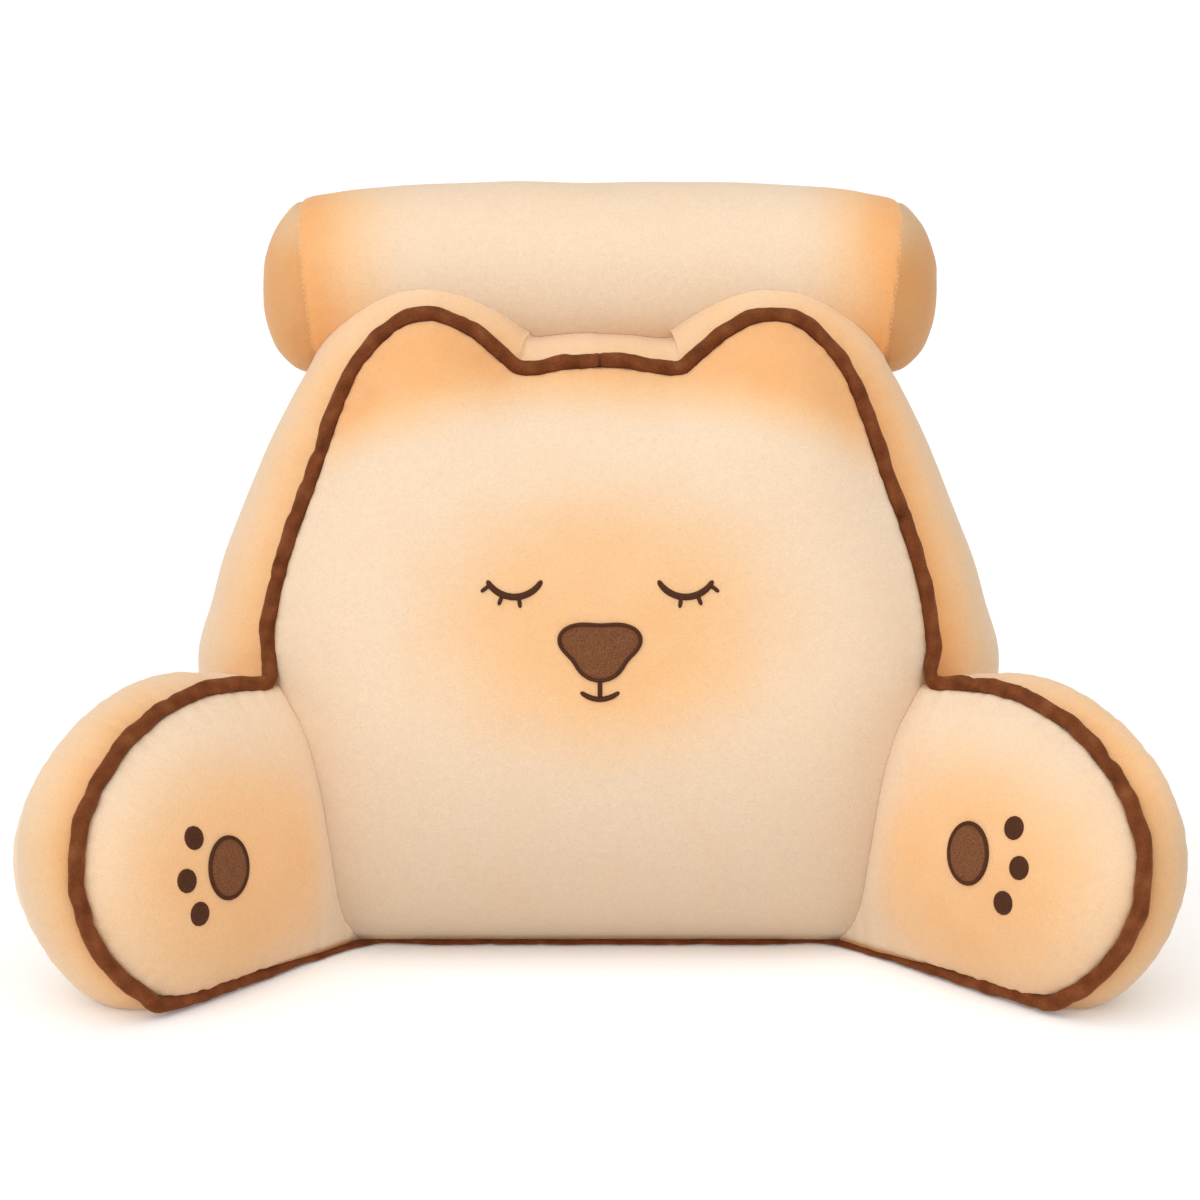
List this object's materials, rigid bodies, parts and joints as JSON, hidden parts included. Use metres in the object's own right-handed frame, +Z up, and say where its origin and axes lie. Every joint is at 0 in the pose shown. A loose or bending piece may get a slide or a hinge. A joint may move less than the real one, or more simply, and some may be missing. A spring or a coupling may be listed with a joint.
{
  "type": "reading pillow with arms",
  "caption": "Filled reading pillow that props up a sitter's back: eared backrest, splayed arms, a neck roll along the top and plush piping in the front seam.",
  "frame": {"origin": "middle of the bounding box on the floor, under the backrest's front panel", "axes": "+Z up, -Y towards the sitter's legs, the way the arms point, +X to the right as seen from the front"},
  "size_m": [0.7918, 0.4094, 0.5312],
  "materials": {
    "plush_cream": "short cream plush, airbrushed with soft orange",
    "plush_brown": "brown plush over piping cord",
    "applique_felt": "brown brushed felt, satin stitched at its edge"
  },
  "bodies": {
    "root": {"back_cushion": "plush_cream", "arm_right": "plush_cream", "arm_left": "plush_cream", "neck_roll": "plush_cream", "piping": "plush_brown", "paw_pad_right": "applique_felt", "paw_pad_left": "applique_felt", "nose_patch": "applique_felt"}
  },
  "joints": []
}
